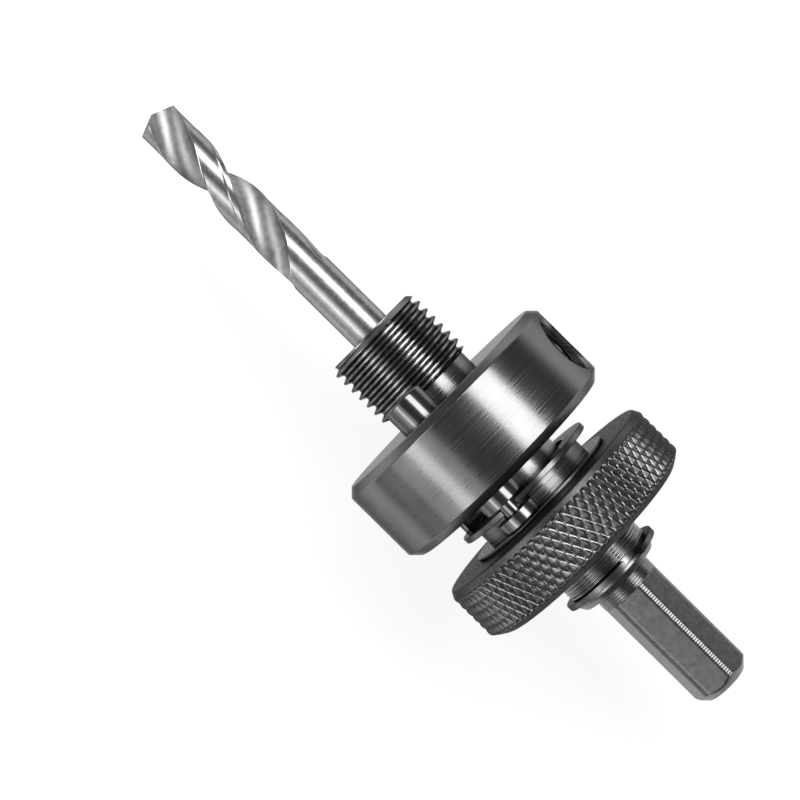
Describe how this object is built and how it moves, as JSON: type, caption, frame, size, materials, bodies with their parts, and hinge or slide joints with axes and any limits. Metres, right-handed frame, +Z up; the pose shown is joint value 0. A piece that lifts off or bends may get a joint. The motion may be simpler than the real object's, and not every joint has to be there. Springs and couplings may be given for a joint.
{
  "type": "hole saw arbor",
  "caption": "Hole saw arbor with a pilot drill, threaded nose, collar with drive pins, knurled nut that slides the pins, and a hex shank.",
  "frame": {"origin": "on the surface that the arbor lies on, under the middle of its length", "axes": "+X along the axis towards the drill's tip, +Z up"},
  "size_m": [0.1144, 0.0372, 0.0373],
  "materials": {
    "drill_steel": "bright ground steel",
    "turned_steel": "dark oiled steel with fine turning marks",
    "knurled_steel": "dark steel with a diamond knurl",
    "pin_steel": "ground dark steel",
    "spring_steel": "dark spring steel",
    "screw_steel": "black oxide"
  },
  "bodies": {
    "spindle": {"arbor_body": "turned_steel", "drive_collar": "turned_steel", "pilot_drill": "drill_steel", "pilot_set_screw": "screw_steel", "rear_snap_ring": "spring_steel"},
    "pin_carriage": {"pin_carrier": "turned_steel", "pin_clip": "spring_steel", "drive_pin_1": "pin_steel", "drive_pin_2": "pin_steel", "carrier_ring": "spring_steel"},
    "nut": {"knurled_nut": "knurled_steel"}
  },
  "joints": [
    {"name": "pin_slide", "type": "slide", "parent": "spindle", "child": "pin_carriage", "axis": [1, 0, 0], "range_m": [-0.0031, 0.0009]},
    {"name": "nut_spin", "type": "hinge", "parent": "pin_carriage", "child": "nut", "pos_m": [-0.02485, 0, 0.01865], "axis": [1, 0, 0], "range_deg": [-1116, 324]}
  ],
  "couplings": [
    {"joint": "pin_slide", "follows": "nut_spin", "m_per_rad": 0.00015915}
  ]
}
